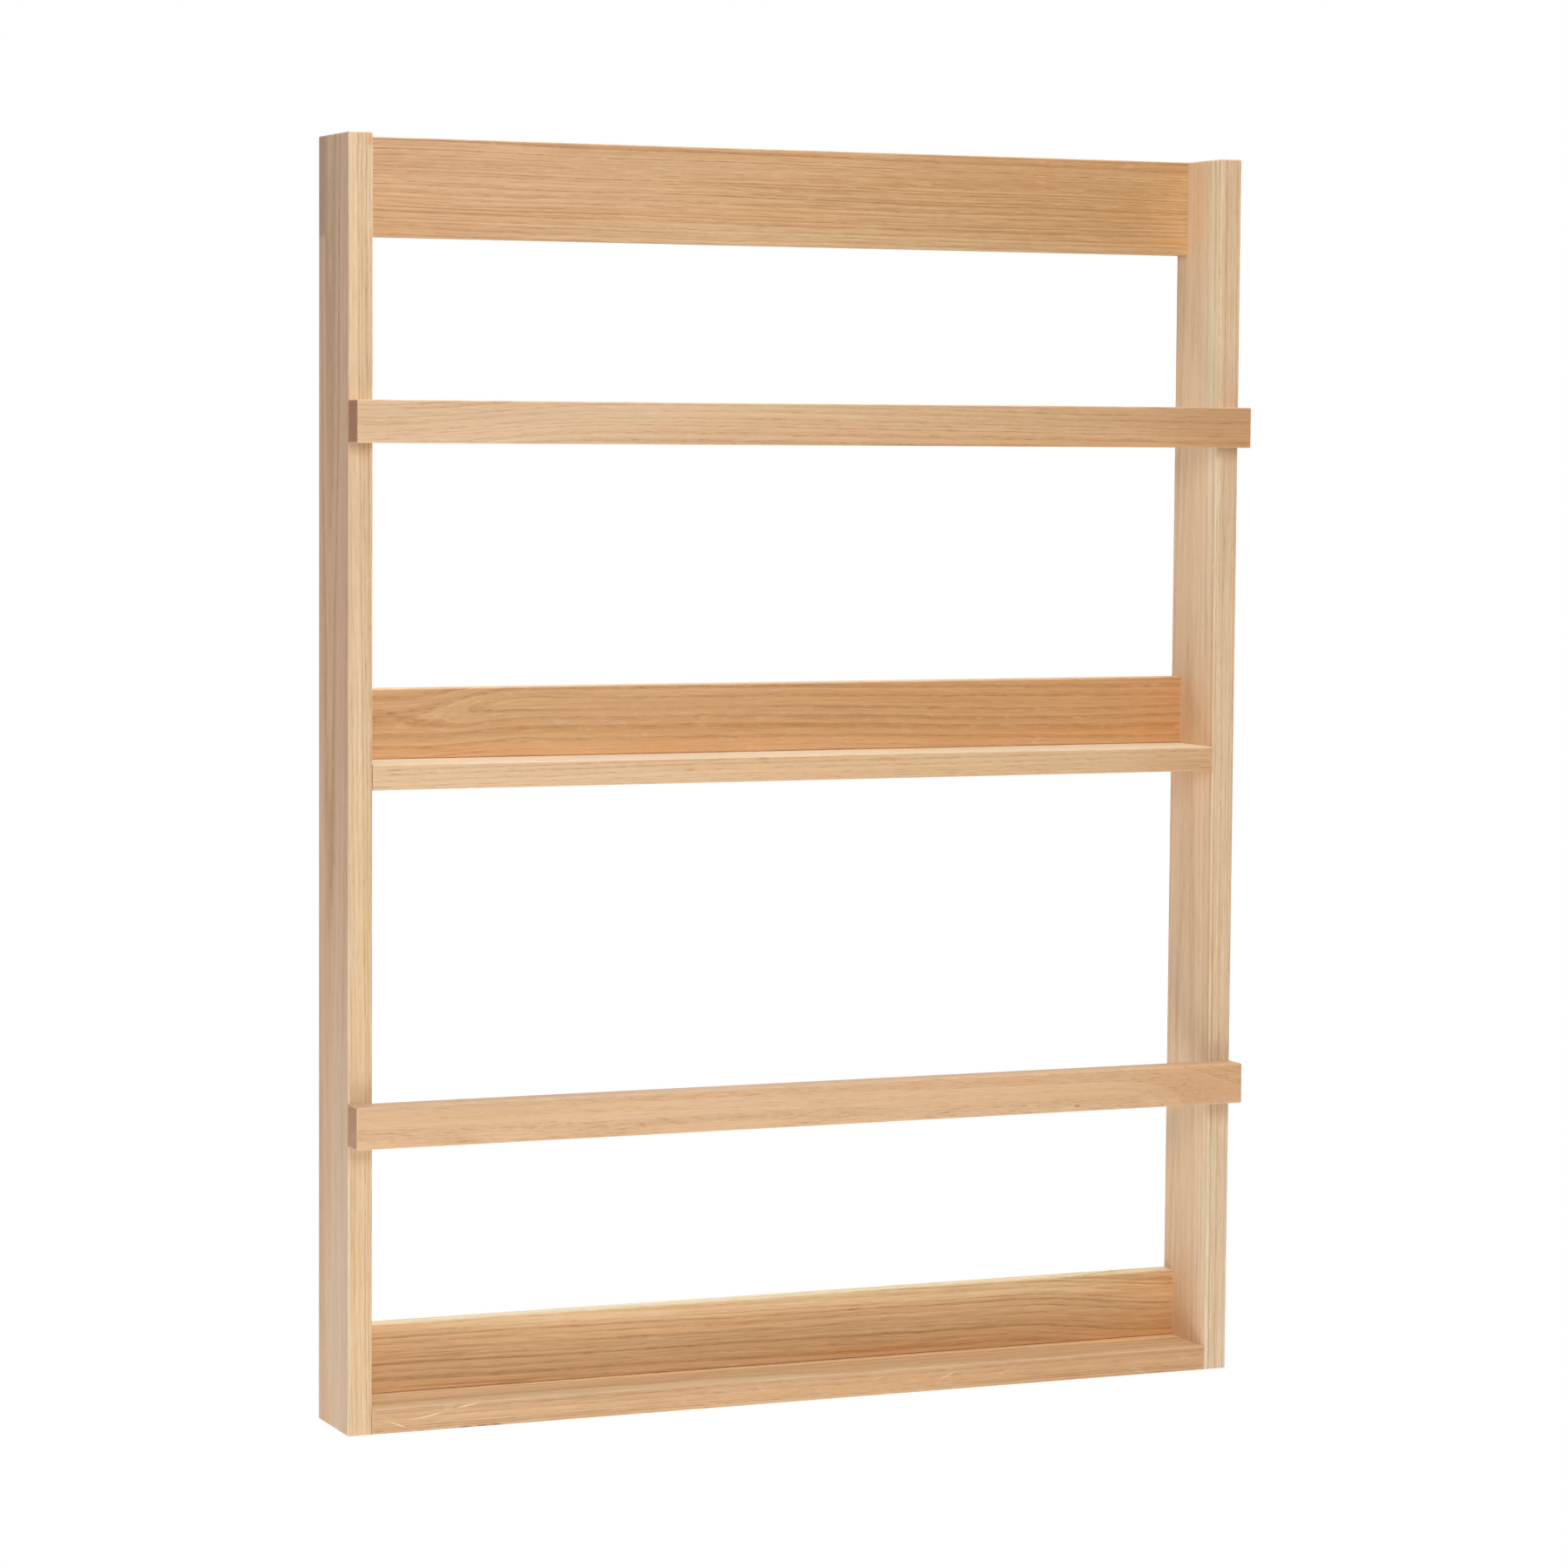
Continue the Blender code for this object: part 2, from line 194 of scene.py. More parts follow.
def newMaterial(name):
    material = bpy.data.materials.new(name)
    material.use_nodes = True
    return material, Web(material.node_tree)


def finishMaterial(web, sockets):
    shader = web.node("ShaderNodeBsdfPrincipled", {}, sockets)
    web.node("ShaderNodeOutputMaterial", {}, {"Surface": shader})


def dress(node, material):
    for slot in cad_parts[node].material_slots:
        slot.material = material


# Studio: a white room, with a soft lamp near the front, one overhead and weaker ones round about.
studio = {
    "floorDrop": 0.62,  # from the shelf's feet to the floor, as it hangs
    "floorSize": 16.0,
    "floorColour": paint(236, 236, 234),
    "floorLift": 0.42,  # added for the camera alone, so that the floor reads as white
    "shadowReach": (0.9, 1.9),  # beyond this the floor fades into the white room
    "fill": 0.3,  # strength of the room's own light
    "lamps": {  # all of them aim at the middle of the shelf
        "key": {"place": (-0.5, -1.7, 0.4), "size": 0.8, "power": 14.5},
        "top": {"place": (0.0, -0.35, 3.0), "size": 1.3, "power": 78.0},
        "low": {"place": (-1.3, -0.4, -1.25), "size": 0.8, "power": 6.5},
        "front": {"place": (-0.2, -0.9, -1.4), "size": 0.6, "power": 3.1},
        "side": {"place": (2.4, 0.5, -0.2), "size": 1.0, "power": 26.0},
        "back": {"place": (0.6, 2.6, 0.2), "size": 1.4, "power": 36.0},
    },
    "unmirrored": ("back",),  # lamps that no gloss shows
}


def hangLamp(name, lamp):
    light = bpy.data.lights.new(name, "AREA")
    light.shape = "SQUARE"
    light.size = lamp["size"]
    light.energy = lamp["power"]
    lampObject = bpy.data.objects.new(name, light)
    lampObject.location = lamp["place"]
    lampObject.rotation_mode = "QUATERNION"
    middle = (cadBox[0] + cadBox[1]) / 2
    lampObject.rotation_quaternion = (middle - lampObject.location).to_track_quat("-Z", "Y")
    lampObject.visible_camera = False
    lampObject.visible_glossy = name not in studio["unmirrored"]
    bpy.context.scene.collection.objects.link(lampObject)


def makeStudio():
    world = bpy.data.worlds.new("room")
    world.use_nodes = True
    bpy.context.scene.world = world
    web = Web(world.node_tree)
    rays = web.node("ShaderNodeLightPath").socket.node.outputs
    seen = Wire(web, rays["Is Camera Ray"])
    for ray in ("Is Glossy Ray", "Is Transmission Ray"):
        seen = web.sum("MAXIMUM", seen, Wire(web, rays[ray]))
    fill = studio["fill"]
    light = web.mix(seen, (fill, fill, fill, 1.0), (1.0, 1.0, 1.0, 1.0))
    room = web.node("ShaderNodeBackground", {}, {"Color": light, "Strength": 1.0})
    web.node("ShaderNodeOutputWorld", {}, {"Surface": room})

    for name, lamp in studio["lamps"].items():
        hangLamp(name, lamp)

    low = cadBox[0].z - studio["floorDrop"]
    reach = studio["floorSize"] / 2
    corners = [(-reach, -reach, 0), (reach, -reach, 0), (reach, reach, 0), (-reach, reach, 0)]
    mesh = bpy.data.meshes.new("floor")
    mesh.from_pydata(corners, [], [(0, 1, 2, 3)])
    floor = bpy.data.objects.new("floor", mesh)
    floor.location.z = low
    bpy.context.scene.collection.objects.link(floor)

    material, web = newMaterial("floor_white")
    matt = web.node("ShaderNodeBsdfDiffuse", {}, {"Color": studio["floorColour"]})
    seen = web.node("ShaderNodeLightPath", output="Is Camera Ray")
    lift = web.node("ShaderNodeEmission", {}, {"Strength": seen * studio["floorLift"]})
    lit = web.node("ShaderNodeAddShader", {}, {0: matt, 1: lift})
    spot = web.node("ShaderNodeTexCoord", output="Object")
    away = web.sum("LENGTH", spot, output="Value").span(*studio["shadowReach"])
    white = web.node("ShaderNodeEmission", {}, {"Strength": 1.0})
    far = web.node("ShaderNodeMixShader", {}, {0: away * seen, 1: lit, 2: white})
    below = web.node("ShaderNodeNewGeometry", output="Backfacing")
    clear = web.node("ShaderNodeBsdfTransparent")
    shown = web.node("ShaderNodeMixShader", {}, {0: below, 1: far, 2: clear})
    web.node("ShaderNodeOutputMaterial", {}, {"Surface": shown})
    mesh.materials.append(material)


makeStudio()
print("studio lit")


# Oak: one block of grown wood for each board, with its rings, pores and rays all through it,
# so that faces, edges and end grain belong together.
oakLook = {
    "darkShare": (0.74, 0.66, 0.56),  # of the body's colour, in the darkest fibres
    "lightShare": (1.16, 1.2, 1.26),
    "dashShare": (0.8, 0.7, 0.58),  # in the short dark strokes of the spring wood
    "poreShare": (0.66, 0.55, 0.44),
    "pale": paint(246, 226, 194),  # rays, and rubbed arrises, whose paleness is partly a painted highlight
    "warm": (1.0, 0.93, 0.82),
    "cool": (1.0, 1.03, 1.06),
    "plain": (1.0, 1.0, 1.0),  # leaves a colour as it is
    "sizes": {  # of the patterns in the wood, along and across the grain
        "drift": (230.0, 45.0),
        "wobble": (40.0, 8.0),
        "calm": (260.0, 26.0),  # calm stretches and busy ones
        "figure": (110.0, 2.0),
        "stroke": (26.0, 0.7),
        "fine": (34.0, 0.5),
        "finest": (9.0, 0.3),
        "cloud": (330.0, 40.0),
        "dash": (14.0, 0.6),
        "pore": (6.0, 0.26),
        "ripple": (9.0, 5.0),
        "fringe": (7.0, 1.2),
        "rubbed": (22.0, 9.0),
        "sheen": (60.0, 12.0),
        "ridge": (30.0, 0.5),
        "swell": (90.0, 14.0),
    },
    "apart": (531.0, 87.0, 59.0),  # how far two seeds lie from each other in the patterns
    "yearsApart": 7.0,
    "strokesApart": 13.0,
    "deepDrift": 0.4,  # share of the drift that goes through the thickness
    "spacingEvery": 3.5,  # rings, between wide ones and narrow ones
    "spacingShift": 2.4,
    "bandEvery": 13.0,
    "earlyRise": (0.0, 0.25),  # spring wood, as shares of a ring
    "earlyFall": (0.3, 0.8),
    "lateRise": (0.5, 0.85),  # summer wood
    "lateFall": (0.88, 1.0),
    "weakYear": 0.4,
    "yearSpread": 0.9,
    "calmDepth": 1.6,
    "tone": {  # how much each pattern lightens or darkens the wood
        "bands": 0.5,
        "early": 0.3,
        "late": 0.1,
        "figure": 0.4,
        "stroke": 0.52,
        "fine": 0.54,
        "finest": 0.3,
        "cloud": 0.3,
    },
    "endTurn": (0.55, 0.9),  # how far a surface turns to the end before it is end grain
    "faceTurn": (0.5, 0.9),
    "endCalm": 0.75,  # how much of the tone the end grain loses
    "endClosed": 0.8,  # and of its strokes and pores
    "warmRange": (-0.16, 0.16),
    "dashRange": (0.04, 0.2),
    "dashAnywhere": 0.35,
    "dashEarly": 0.9,  # more of them in the spring wood
    "poreRange": (0.06, 0.2),
    "poreAnywhere": 0.2,
    "poreEarly": 0.8,
    "rayRange": (0.12, 0.22),
    "rayTwist": 0.02,
    "markEdge": (0.3, 1.0),  # where a mark fades, as a share of its reach
    "markFringe": 0.5,
    "arris": (0.2, 1.3),  # how far in from an edge the rubbed arris reaches
    "rubbedRange": (-0.25, 0.15),
    "leastRubbed": 0.35,
    "roughness": 0.58,
    "roughPores": 0.14,
    "roughSheen": 0.16,
    "roughWorn": -0.08,
    "roughEnd": 0.1,
    "gloss": 0.35,
    "relief": {"Strength": 0.35, "Distance": 0.00025},
    "ridgeHeight": 0.6,
    "swellHeight": 1.2,
    "poreDepth": 0.5,
    "earlyDepth": 0.12,
}


def shaded(share):
    return (*share, 1.0)


def oak(node, cut):
    low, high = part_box(node)
    middle = (low + high) / 2
    half = dict(zip("XYZ", (high - low) * perMetre / 2))
    material, web = newMaterial(node + "_grain")
    place = (web.node("ShaderNodeTexCoord", output="Object") - tuple(middle)) * perMetre
    sides = dict(zip("XYZ", web.split(place)))
    along, across, deep = (sides[axis] for axis in cut["axes"])
    seed = cut["seed"]
    elsewhere = tuple(seed * step for step in oakLook["apart"])  # so that no two boards are alike
    sizes, weights = oakLook["sizes"], oakLook["tone"]

    # the fibres drift a few millimetres off the straight as they run
    straight = web.join(along, across, deep) + elsewhere
    driftLong, driftWide = sizes["drift"]
    drift = (web.noise(straight * (1 / driftLong, 1 / driftWide, 1 / driftWide), 1.0) - 0.5) * cut["sway"]
    deepDrift = drift * oakLook["deepDrift"]
    grain = web.join(along, across + drift, deep + deepDrift) + elsewhere

    def fibres(size, detail=2.0):  # noise drawn out along the grain, about zero
        length, width = size
        return web.noise(grain * (1 / length, 1 / width, 1 / width), detail) - 0.5

    # growth rings, round a pith line beside the board
    pithAcross, pithDeep = cut["pith"]
    leanAcross, leanDeep = cut["lean"]
    ringX = across - pithAcross + along * leanAcross + drift
    ringY = deep - pithDeep + along * leanDeep + deepDrift
    for start, end, shift, rise in cut["crowns"]:
        ringX = ringX + along.span(start, end, 0.0, shift)
        ringY = ringY + along.span(start, end, 0.0, rise)
    radius = web.sum("SQRT", ringX * ringX + ringY * ringY) + fibres(sizes["wobble"]) * cut["wobble"]
    far = -1.0 if pithDeep > 0 else 1.0  # keeps the angle's seam out of the board
    turned = web.sum("ARCTAN2", ringX, ringY * far) * math.hypot(pithAcross, pithDeep)
    spacing = web.noise1(radius / (cut["ringWidth"] * oakLook["spacingEvery"]) + seed, 1.0) - 0.5
    ring = radius / cut["ringWidth"] + spacing * oakLook["spacingShift"]
    number = web.sum("FLOOR", ring)
    phase = ring - number
    year = web.chance(number + seed * oakLook["yearsApart"])
    yearly = year * oakLook["yearSpread"] + oakLook["weakYear"]
    early = phase.span(*oakLook["earlyRise"]) * phase.span(*oakLook["earlyFall"], 1.0, 0.0) * yearly
    late = phase.span(*oakLook["lateRise"]) * phase.span(*oakLook["lateFall"], 1.0, 0.0)
    bands = web.noise1(radius / oakLook["bandEvery"] + seed, 2.0) - 0.5

    def strokes(size):  # as fibres, but following the rings
        length, width = size
        spot = web.join(along / length, radius / width, turned / width)
        return web.noise(spot + seed * oakLook["strokesApart"], 1.0) - 0.5

    # tone from dark to light, out of rings and fibres, in calm stretches and busy ones
    strength = (fibres(sizes["calm"], 1.0) * oakLook["calmDepth"] + 1.0) * cut["contrast"]
    ringTone = bands * weights["bands"] - early * weights["early"] - late * weights["late"]
    figureTone = fibres(sizes["figure"]) * weights["figure"] + strokes(sizes["stroke"]) * weights["stroke"]
    fineTone = fibres(sizes["fine"]) * weights["fine"] + fibres(sizes["finest"]) * weights["finest"]
    cloudTone = fibres(sizes["cloud"], 1.0) * weights["cloud"]
    tone = 0.5 + ringTone * strength + figureTone * strength + fineTone * cut["fine"] + cloudTone
    darkest, plain, lightest = (shaded(oakLook[name]) for name in ("darkShare", "plain", "lightShare"))
    shade = web.ramp(tone, [(0.0, darkest), (0.5, plain), (1.0, lightest)])
    reach = half[cut["axes"][0]]
    body = web.mix(along.span(-reach, reach), *cut["body"])
    facing = dict(zip("XYZ", web.split(web.node("ShaderNodeTexCoord", output="Normal"))))
    endness = abs(facing[cut["axes"][0]]).span(*oakLook["endTurn"])
    shade = web.mix(endness * oakLook["endCalm"], shade, plain)
    colour = web.mix(1.0, body, shade, "MULTIPLY")

    # warmer and cooler streaks
    warm = fibres(cut["streak"]).span(*oakLook["warmRange"])
    tint = web.mix(warm, shaded(oakLook["cool"]), shaded(oakLook["warm"]))
    colour = web.mix(cut["blush"], colour, tint, "MULTIPLY")

    # short dark strokes, and the open pores among them
    lengthwise = 1.0 - endness * oakLook["endClosed"]
    dashYears = oakLook["dashAnywhere"] + early * oakLook["dashEarly"]
    dashes = strokes(sizes["dash"]).span(*oakLook["dashRange"]) * dashYears * lengthwise
    colour = web.mix(dashes * cut["dashes"], colour, shaded(oakLook["dashShare"]), "MULTIPLY")
    poreYears = oakLook["poreAnywhere"] + early * oakLook["poreEarly"]
    pores = fibres(sizes["pore"], 1.0).span(*oakLook["poreRange"]) * poreYears * lengthwise
    colour = web.mix(pores * cut["pores"], colour, shaded(oakLook["poreShare"]), "MULTIPLY")

    # rays: thin plates from the pith outwards, which show as pale wisps
    rayLong, rayOut, rayRound = cut["raySize"]
    spot = web.join(along / rayLong, radius / rayOut, (turned + along * oakLook["rayTwist"]) / rayRound)
    rays = (web.noise(spot + seed * oakLook["strokesApart"], 1.0) - 0.5).span(*oakLook["rayRange"])
    colour = web.mix(rays * cut["flecks"], colour, oakLook["pale"])

    # stretches of paler or darker wood and of painted light and shade, pin knots, specks and single wisps
    for mark in cut["marks"]:
        offset = web.join(along, across, deep) - mark["place"]
        offAlong, offAcross, offDeep = web.split(offset)
        ripple = fibres(sizes["ripple"]) * mark["ripple"] if "ripple" in mark else 0.0
        longReach, wideReach, deepReach = mark["size"]
        away = web.sum("LENGTH", web.join(
            offAlong / longReach,
            (offAcross + ripple) / wideReach,
            (offDeep - offAlong * mark.get("slope", 0.0) + ripple) / deepReach,
        ), output="Value")
        fringe = fibres(mark.get("fringe", sizes["fringe"])) * oakLook["markFringe"]
        spot = (away + fringe).span(*oakLook["markEdge"], mark["strength"], 0.0)
        if "share" in mark:  # of the colour that is there
            colour = web.mix(spot, colour, shaded(mark["share"]), "MULTIPLY")
        else:
            colour = web.mix(spot, colour, mark["colour"])

    # painted light and shade on the listed faces, as the room's light falls on them; then the end grain,
    # which takes up the most oil, is darkened
    for side, share in cut["faces"].items():
        toward = facing[side[1]] * (1.0 if side[0] == "+" else -1.0)
        colour = web.mix(toward.span(*oakLook["faceTurn"]), colour, shaded(share), "MULTIPLY")
    colour = web.mix(endness, colour, shaded(cut["endShare"]), "MULTIPLY")

    # rubbed arrises, paler from wear and as a painted highlight, by the distance to the board's nearest edge
    gaps = [half[axis] - abs(sides[axis]) for axis in "XYZ"]
    lower = web.sum("MINIMUM", gaps[0], gaps[1])
    upper = web.sum("MAXIMUM", gaps[0], gaps[1])
    edge = web.sum("MAXIMUM", lower, web.sum("MINIMUM", upper, gaps[2]))
    patchy = fibres(sizes["rubbed"]).span(*oakLook["rubbedRange"], oakLook["leastRubbed"], 1.0)
    wornAndHighlit = edge.span(*oakLook["arris"], 1.0, 0.0) * patchy
    colour = web.mix(wornAndHighlit * cut["edgeWear"], colour, oakLook["pale"])

    rough = oakLook["roughness"] + pores * oakLook["roughPores"] + endness * oakLook["roughEnd"]
    rough = rough + wornAndHighlit * oakLook["roughWorn"] + fibres(sizes["sheen"]) * oakLook["roughSheen"]
    height = fibres(sizes["ridge"]) * oakLook["ridgeHeight"] - pores * oakLook["poreDepth"]
    height = height - early * oakLook["earlyDepth"] + fibres(sizes["swell"], 1.0) * oakLook["swellHeight"]
    bump = web.node("ShaderNodeBump", {}, {**oakLook["relief"], "Height": height})
    finishMaterial(web, {
        "Base Color": colour,
        "Roughness": rough,
        "Normal": bump,
        "Specular IOR Level": oakLook["gloss"],
    })
    dress(node, material)


def sawn(like, **changes):  # another board's cut with these values changed
    return {**like, **changes}


# Marks on a board: a place from its middle and a reach, each along, across and through
frontEdge = -34.0  # across, on an upright or a shelf
rayColour = paint(240, 212, 168)


def stretch(place, size, share, strength=1.0):  # paler or darker with a soft edge: wood, or painted light and shade where so marked
    return {"place": place, "size": size, "share": share, "strength": strength, "fringe": (120.0, 3.0)}


def speck(place, size, colour, strength):
    return {"place": place, "size": size, "colour": colour, "strength": strength}


def wisp(along, deep, length, thickness, slope, strength=0.88):  # a ray cut open by the front edge
    size = (length, 4.0, thickness)
    return {**speck((along, frontEdge, deep), size, rayColour, strength), "slope": slope, "ripple": 1.2}


leftUpright = {
    "axes": "ZYX",  # along the grain, across the wide face, through the thickness
    "seed": 1,
    "pith": (8.0, 75.0),  # from the board's middle, across and through
    "lean": (0.004, 0.006),
    "sway": 5.0,
    "crowns": [],  # where the pith line bends: start, end, shift across and rise through
    "wobble": 0.6,
    "ringWidth": 2.8,
    "contrast": 1.0,  # of the rings
    "fine": 1.0,  # of the fibres
    "body": (paint(223, 192, 155), paint(229, 199, 164)),  # at both ends
    "faces": {"-X": (0.95, 0.89, 0.94)},  # painted light and shade: share of the body's colour on faces the light reaches differently, here the outer face darker
    "endShare": (0.7, 0.6, 0.54),
    "streak": (120.0, 1.9),
    "blush": 0.6,
    "dashes": 0.5,
    "pores": 0.5,
    "flecks": 0.12,
    "raySize": (12.0, 5.0, 0.7),  # along the grain, outwards and round
    "edgeWear": 0.25,
    "marks": [
        speck((-50.4, -2.7, -9.0), (6.0, 0.7, 2.0), paint(150, 112, 86), 0.8),
        speck((452.0, frontEdge, 7.0), (5.0, 3.0, 3.0), paint(216, 156, 108), 0.6),
        # painted light and shade on the outer face: paler towards the bottom, darker higher up
        stretch((-420.0, frontEdge, -9.0), (460.0, 62.0, 3.5), (1.05, 1.17, 1.27)),
        stretch((140.0, 0.0, -9.0), (260.0, 60.0, 8.0), (0.97, 0.92, 0.87)),
    ],
}
oak("left_upright", leftUpright)
# painted light: the inner face paler towards its front edge, where the front lamps reach it more
frontLitShare = (1.16, 1.37, 1.53)
rightUpright = sawn(
    leftUpright, seed=2, pith=(5.0, -80.0), edgeWear=0.08,
    # painted shade: the inner face a little darker
    body=(paint(238, 210, 178), paint(233, 202, 167)), faces={"-X": (0.97, 0.955, 0.955)},
    marks=[
        # painted light: paler towards the front edge of the inner face
        stretch((350.0, frontEdge, -9.0), (330.0, 26.0, 6.0), frontLitShare),
        stretch((-400.0, frontEdge, -9.0), (260.0, 15.0, 7.0), frontLitShare, 0.5),
        stretch((400.0, -35.0, -9.0), (230.0, 3.5, 11.0), (0.92, 0.84, 0.78)),
    ],
)
oak("right_upright", rightUpright)

topRail = sawn(
    leftUpright, axes="XZY", seed=3, pith=(-75.0, 45.0), lean=(0.01, 0.0), sway=8.0, ringWidth=2.7,
    contrast=1.2, fine=0.95, streak=(300.0, 9.0), blush=0.5, dashes=0.7,
    # painted light: the top paler, also on the middle and bottom rails, which keep these faces
    body=(paint(222, 180, 139), paint(213, 168, 119)), faces={"+Z": (1.05, 1.28, 1.5)},
    endShare=(0.77, 0.8, 1.0),
    marks=[
        stretch((40.0, -35.0, 0.0), (420.0, 19.0, 40.0), (1.07, 1.17, 1.26)),
        stretch((170.0, 26.0, 0.0), (120.0, 24.0, 40.0), (0.95, 0.91, 0.89)),
        # painted light: paler near the right end, lit back by the right upright
        stretch((345.0, -8.0, 0.0), (60.0, 50.0, 40.0), (1.07, 1.14, 1.24)),
    ],
)
oak("top_rail", topRail)
middleRail = sawn(
    topRail, seed=4, pith=(1.0, 4.0), lean=(0.012, 0.0), ringWidth=5.6, wobble=1.2, contrast=0.95, fine=0.45,
    crowns=[(-300.0, -200.0, -10.0, 8.0)], body=(paint(227, 184, 138), paint(222, 171, 120)),
    marks=[
        speck((-266.0, 0.0, -8.0), (9.0, 4.0, 3.0), paint(196, 140, 96), 0.4),
        # painted shade: darker along the bottom at the left, where the rail meets the shelf
        stretch((-270.0, -25.0, 0.0), (120.0, 10.0, 40.0), (0.94, 0.87, 0.83)),
    ],
)
oak("middle_back_rail", middleRail)
bottomRail = sawn(
    topRail, seed=5, pith=(-60.0, 30.0), ringWidth=4.2, contrast=1.35, fine=0.85,
    crowns=[(190.0, 330.0, 9.0, 0.0)], body=(paint(228, 188, 144), paint(228, 185, 137)),
    marks=[
        # paler along the top, partly paler wood and partly painted light; darker along the bottom by the
        # shelf, painted shade
        stretch((60.0, 25.0, 0.0), (500.0, 17.0, 40.0), (1.08, 1.2, 1.33)),
        stretch((200.0, -25.0, 0.0), (300.0, 22.0, 40.0), (0.96, 0.9, 0.86)),
    ],
)
oak("bottom_back_rail", bottomRail)

middleShelf = sawn(
    topRail, axes="XYZ", seed=6, pith=(10.0, -60.0), ringWidth=2.2, contrast=0.42, fine=0.6,
    # painted light: the top much paler, as grazing light catches it
    body=(paint(227, 191, 154), paint(225, 188, 147)), faces={"+Z": (1.18, 1.5, 1.93)},
    # painted shade: the front darker towards its right end
    marks=[stretch((340.0, frontEdge, 0.0), (100.0, 10.0, 30.0), (0.95, 0.88, 0.82))],
)
oak("middle_shelf", middleShelf)
bottomShelf = sawn(
    middleShelf, seed=7, pith=(-30.0, -85.0), ringWidth=2.8, contrast=0.95, fine=1.1, flecks=0.1,
    # painted light: the top paler
    raySize=(26.0, 7.0, 0.6), faces={"+Z": (1.33, 1.6, 1.9)},
    body=(paint(213, 173, 133), paint(215, 170, 126)),
    marks=[
        wisp(-313.0, -3.0, 9.0, 0.7, -0.45),
        wisp(-291.0, 1.5, 16.0, 0.7, 0.12),
        wisp(-261.0, 7.0, 12.0, 0.7, 0.15),
        wisp(117.0, 2.0, 9.0, 0.6, 0.3),
        wisp(60.0, 4.0, 7.0, 0.5, 0.2, 0.5),
        wisp(163.0, 1.0, 8.0, 0.5, 0.25, 0.5),
        stretch((60.0, frontEdge, -9.0), (420.0, 40.0, 9.0), (1.05, 1.1, 1.14)),
    ],
)
for spot, length in ((-262.0, 7.0), (-249.0, 6.0), (-240.0, 8.0)):
    bottomShelf["marks"].append(speck((spot, frontEdge, -8.4), (length, 3.0, 1.1), paint(120, 84, 60), 0.9))
oak("bottom_shelf", bottomShelf)

upperBar = sawn(
    topRail, seed=8, pith=(-60.0, 50.0), ringWidth=2.4, contrast=0.6, fine=0.85, sway=12.0,
    crowns=[(-360.0, -160.0, -14.0, 0.0)], body=(paint(221, 187, 152), paint(216, 171, 126)),
    # painted light and shade: the top paler, the left end darker
    faces={"+Z": (1.05, 1.28, 1.5), "-X": (0.76, 0.63, 0.6)}, endShare=(0.79, 0.69, 0.62),
    marks=[
        stretch((30.0, 10.0, 0.0), (420.0, 11.0, 30.0), (1.07, 1.15, 1.22)),
        # painted shade: darker and warmer towards the right end
        stretch((350.0, 0.0, 0.0), (120.0, 40.0, 40.0), (0.9, 0.84, 0.8)),
    ],
)
oak("upper_front_bar", upperBar)
lowerBar = sawn(
    upperBar, seed=9, pith=(-12.0, 38.0), ringWidth=3.2, contrast=0.45,
    crowns=[(250.0, 370.0, 0.0, -12.0)], body=(paint(225, 188, 151), paint(227, 187, 147)),
    # painted shade: the top and the left end darker
    faces={"+Z": (0.82, 0.86, 0.9), "-X": (0.84, 0.81, 0.86)}, endShare=(0.81, 0.74, 0.7),
    marks=[
        speck((211.6, -10.8, -10.0), (4.0, 1.4, 3.0), paint(170, 112, 72), 0.7),
        stretch((120.0, -12.0, 0.0), (260.0, 10.0, 30.0), (1.07, 1.13, 1.2)),
        # painted shade: darker and warmer towards the right end
        stretch((350.0, 0.0, 0.0), (120.0, 40.0, 40.0), (0.92, 0.84, 0.78)),
        stretch((-350.0, 12.0, 0.0), (280.0, 18.0, 30.0), (0.91, 0.88, 0.84)),
    ],
)
oak("lower_front_bar", lowerBar)
print("boards grained")


# Glue: the thin film in each joint, a little short of the faces
glueLook = {
    "film": 0.0003,  # the room between two glued boards
    "slack": 0.00002,  # between the film and each board
    "setBack": 0.00005,  # of the film's rim from the boards' faces
    "ragged": 0.00005,  # how far the rim wanders inwards
    "step": 0.008,  # between the rim's points
    "colour": paint(216, 172, 128),
    "dark": paint(196, 148, 104),
    "blots": 0.35,  # to the millimetre
    "blotRange": (0.35, 0.65),
    "roughness": 0.42,
    "roughBlots": 0.2,
    "gloss": 0.4,
    "seed": 11,
}


def seam(first, second):  # the room between two boards that meet face to face
    lowFirst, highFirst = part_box(first)
    lowSecond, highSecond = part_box(second)
    ends = [
        sorted((max(lowFirst[axis], lowSecond[axis]), min(highFirst[axis], highSecond[axis])))
        for axis in range(3)
    ]
    return zip(*ends)


